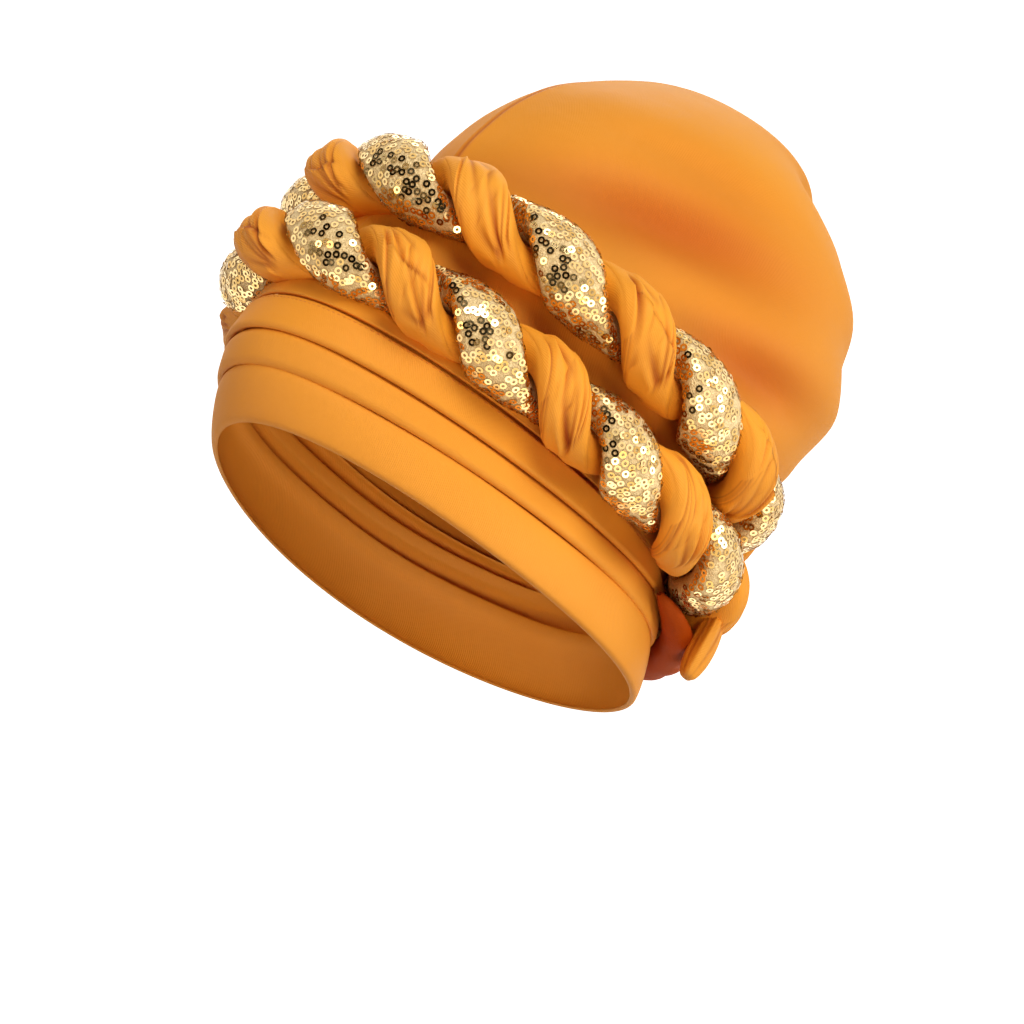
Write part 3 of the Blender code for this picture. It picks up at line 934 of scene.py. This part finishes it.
padded_cloth = satin_knit(
    "padded_orange_cloth", PAINTED_LIT_ORANGE, PAINTED_LIT_PALE_ORANGE, PADDED_WRINKLE, PAINTED_CREASE_SHADE)
courses = {rope.name: RopeCourse(rope) for rope in ROPES}
for seed, (name, course) in enumerate(courses.items(), FOLD_SEED):

    def heights(share, around):
        return gathers(course, share, around, seed)[0]

    # The painted shade in the strand's folds.
    def painted_shade(u, v):
        return gathers(course, u, strand_round(v), seed)[1]

    mesh = cloth_sheet(
        CLOTH_STRAND_COLUMNS, CLOTH_STRAND_ROWS, strand_form(course, CLOTH_PADDING, heights),
        (course.length * MM, STRAND_CLOTH_WIDTH * MM), painted_shade=painted_shade,
    )
    strand = finish_piece(
        name + "_cloth_tube", mesh, padded_cloth, "padded_orange_cloth", name + "_cloth_strand"
    )


# The ropes' sequin strands: stuffed tubes of pale gold net over a champagne lining, on
# which small ring sequins are sewn close together, each held by one thread.
NET_COLUMNS = 340
NET_ROWS = 40
NET_SHADE = (0.60, 0.41, 0.18, 1)
NET_LIGHT = (0.92, 0.74, 0.43, 1)
NET_CELL_SCALE = 900
NET_FIBRE_SCALE = 700
NET_HEIGHT = 0.25
NET_SWELLS = 31
NET_SWELL_HEIGHT = 0.35

net, shader, shade = new_finish("champagne_net")
place = shade.place()
cells = shade.node(
    "ShaderNodeTexVoronoi", {"feature": "DISTANCE_TO_EDGE"},
    {"Vector": place, "Scale": NET_CELL_SCALE},
)
threads = 1 - shade.maths("MINIMUM", cells * 4, 1)
fibres = shade.noise(place, NET_FIBRE_SCALE, 2)
wire(shader, "Base Color", shade.mix(threads * 0.5 + fibres * 0.6, NET_SHADE, NET_LIGHT))
wire(shader, "Roughness", 0.40 + 0.25 * fibres)
wire(shader, "Normal", shade.bump(threads * NET_HEIGHT + fibres * NET_HEIGHT))
shader.inputs["Metallic"].default_value = 0.35
shader.inputs["Sheen Weight"].default_value = 0.1
shader.inputs["Sheen Roughness"].default_value = 0.3
shader.inputs["Sheen Tint"].default_value = (1, 0.9, 0.7, 1)


def net_heights(share, around):
    """Soft unevenness of the padding under the net."""
    waves = np.sin(2 * np.pi * share * NET_SWELLS + 2 * around)
    return NET_SWELL_HEIGHT * waves * np.sin(3 * around + 1)


def on_net(course, share, around, lift):
    """Points that stand off from a sequin strand's net by a lift in mm."""
    raised = swelling(course, NET_PADDING, share, around) + net_heights(share, around)
    return strand_surface(course, NET_PADDING, share, around, raised + lift)


for name, course in courses.items():
    mesh = cloth_sheet(
        NET_COLUMNS, NET_ROWS, strand_form(course, NET_PADDING, net_heights),
        (course.length * MM, STRAND_CLOTH_WIDTH * MM),
    )
    strand = finish_piece(
        name + "_net_tube", mesh, net, "gold_sequin_cloth", name + "_sequin_strand"
    )


# The ring sequins: stamped from thin gold film, 3.4 mm across with a 1.5 mm hole. They lie
# nearly flat on the net, tipped a little by their threads, and never on its hidden side.
SEQUIN_RADIUS = 1.23
SEQUIN_HALF_RING = 0.48
SEQUIN_DEPTH = 0.14
SEQUIN_SIDES = 8
SEQUIN_DARK = (0.62, 0.38, 0.12, 1)
SEQUIN_LIGHT = (0.95, 0.74, 0.38, 1)

# How they are sewn on, in mm, and in radians for places round the strand. Their rows are
# closer by a share than along the rope's middle, because a strand is longer than that.
SEQUIN_SPACING = 3.08
SEQUIN_ROWS_CLOSER = 1.12
SEQUIN_STAGGER = 0.1
SEQUIN_EDGE = 2.6
SEQUIN_JITTER = 0.5
SEQUIN_JITTER_ROUND = 0.8
SEQUIN_SKIP = 0.06
SEQUIN_LEAST_REACH = 5
SEQUIN_LIFT = 0.4
SEQUIN_TIP = 0.09
SEQUIN_STEP = 0.6
SEQUIN_HIDDEN = -0.6
SEQUIN_SEED = 21

gold, shader, shade = new_finish("gold_sequins")
tone = shade.attribute("tone")
wire(shader, "Base Color", shade.mix(tone, SEQUIN_DARK, SEQUIN_LIGHT))
wire(shader, "Roughness", 0.10 + 0.12 * tone)
shader.inputs["Metallic"].default_value = 1


def one_sequin():
    """One ring, spun from a section that is flat on top."""
    mesh = bmesh.new()
    section = [
        mesh.verts.new((SEQUIN_RADIUS + SEQUIN_HALF_RING * side, 0, height))
        for side, height in ((1, 0), (-1, 0), (0, -SEQUIN_DEPTH))
    ]
    edges = [mesh.edges.new(pair) for pair in zip(section, section[1:] + section[:1])]
    bmesh.ops.spin(
        mesh, geom=section + edges, axis=(0, 0, 1), cent=(0, 0, 0),
        angle=2 * math.pi, steps=SEQUIN_SIDES, use_merge=True,
    )
    bmesh.ops.remove_doubles(mesh, verts=mesh.verts, dist=1e-5)
    bmesh.ops.recalc_face_normals(mesh, faces=mesh.faces)
    return corners_and_faces(mesh)


def sequin_spots(course, dice):
    """Where the sequins are sewn: shares of the way round, and angles on the strand."""
    shares, arounds = [], []
    rows = int(course.length * SEQUIN_ROWS_CLOSER / SEQUIN_SPACING)
    for row in range(rows):
        around = -SEQUIN_EDGE + (row % 2) * SEQUIN_STAGGER
        while around < SEQUIN_EDGE:
            deep = STRAND_DEPTH / 2 * math.sin(around)
            wide = STRAND_WIDTH / 2 * math.cos(around)
            mm_a_radian = max(math.hypot(deep, wide), SEQUIN_LEAST_REACH)
            around += SEQUIN_SPACING / mm_a_radian
            if dice.random() > SEQUIN_SKIP:
                jitter = dice.normal(0, SEQUIN_JITTER, 2)
                shares.append((row + jitter[0] / SEQUIN_SPACING) / rows)
                arounds.append(around + jitter[1] / mm_a_radian * SEQUIN_JITTER_ROUND)
    return np.array(shares), np.array(arounds)


def sequin_axes(normal, along, dice):
    """Each sequin's axes: tipped a little off its normal, and spun about it at random."""
    count = len(normal)
    normal = unit(normal + dice.normal(0, SEQUIN_TIP, (count, 3)))
    side = unit(np.cross(normal, along))
    ahead = np.cross(side, normal)
    spin = dice.uniform(0, 2 * np.pi, count)[:, None]
    cos_spin, sin_spin = np.cos(spin), np.sin(spin)
    turned = side * cos_spin + ahead * sin_spin, ahead * cos_spin - side * sin_spin
    return np.stack([*turned, normal], axis=1)


sequin = one_sequin()
for seed, (name, course) in enumerate(courses.items(), SEQUIN_SEED):
    dice = np.random.default_rng(seed)
    share, around = sequin_spots(course, dice)
    spots = on_net(course, share, around, 0)
    _, along, outward, _ = course.frames(share)
    normal = unit(np.cross(
        on_net(course, share + SEQUIN_STEP / course.length, around, 0) - spots,
        on_net(course, share, around + SEQUIN_STEP / STRAND_WIDTH, 0) - spots,
    ))
    normal = outward_side(normal, on_net(course, share, around, 1) - spots)
    spots = spots + normal * SEQUIN_LIFT
    seen = (normal * outward).sum(axis=1) > SEQUIN_HIDDEN
    spots = spots[seen]
    axes = sequin_axes(normal[seen], along[seen], dice)
    tones = dice.random(len(spots))
    left = spots[:, 0] > 0
    for half, chosen in (("left", left), ("right", ~left)):
        mesh = joined_copies(sequin, spots[chosen], axes[chosen], tones[chosen])
        sequins = finish_piece(name + "_" + half + "_sequins", mesh, gold, "gold_sequin_cloth")
        sequins.data.shade_flat()


# The rope's tail: the raw end of the lower rope's cloth strand, which hangs below it at
# the nape, gathered at the top and folded to a soft end.
TAIL_ANGLE = math.radians(141)
TAIL_OUT = 22
TAIL_RISE = 41.7
TailSection = namedtuple("TailSection", "down half_width half_depth")
TAIL_SECTIONS = (
    TailSection(-5, 7.5, 4.6), TailSection(4, 9, 5.6), TailSection(12, 8.5, 5.6),
    TailSection(18.5, 7, 4.8), TailSection(23.2, 4.6, 3.2), TailSection(24.8, 0, 0),
)
TAIL_COLUMNS = 60
TAIL_ROWS = 30
TAIL_FLAT = (0.034, 0.025)
TAIL_FOLDS = 4
TAIL_FOLD_DEPTH = 0.10
TAIL_GATHERS = 11
TAIL_GATHER_DEPTH = 0.04
TAIL_PAINTED_SHADE = 0.7


def tail_wave(u, v):
    """The long folds round the tail, which turn a little on their way down."""
    return np.sin(2 * np.pi * TAIL_FOLDS * u + 3 * v)


def tail_form(u, v):
    """The form of the tail: u goes round it, and v down from its gathered top."""
    around = 2 * np.pi * u
    down, half_width, half_depth = smooth_rows(TAIL_SECTIONS, v * (len(TAIL_SECTIONS) - 1))
    gathered = TAIL_GATHER_DEPTH * np.sin(TAIL_GATHERS * around) * (1 - v)
    folds = 1 + TAIL_FOLD_DEPTH * tail_wave(u, v) + gathered
    angle = np.array([TAIL_ANGLE])
    outward = ring_outwards(LOWER_ROPE_LINE, angle)[0]
    sideways = np.array([-outward[1], outward[0], 0])
    top = ring_places(BAND_RINGS[1], angle)[0] + outward * TAIL_OUT
    top[2] = TAIL_RISE
    places = top + outward * (half_depth * np.cos(around) * folds)[:, None]
    places = places + sideways * (half_width * np.sin(around) * folds)[:, None]
    places[:, 2] = TAIL_RISE - down
    return to_world(places)


# The painted shade in the tail's long folds, deepest in their valleys and near its gathered
# top.
def tail_painted_shade(u, v):
    return np.clip(-tail_wave(u, v), 0, 1) ** 6 * (1 - v) * TAIL_PAINTED_SHADE


tail_mesh = cloth_sheet(TAIL_COLUMNS, TAIL_ROWS, tail_form, TAIL_FLAT, painted_shade=tail_painted_shade)
open_edges = [edge for edge in tail_mesh.edges if edge.is_boundary]
bmesh.ops.contextual_create(tail_mesh, geom=open_edges)
bmesh.ops.recalc_face_normals(tail_mesh, faces=tail_mesh.faces)
tail = finish_piece(
    "rope_tail_cloth", tail_mesh, padded_cloth, "padded_orange_cloth", "rope_tail")
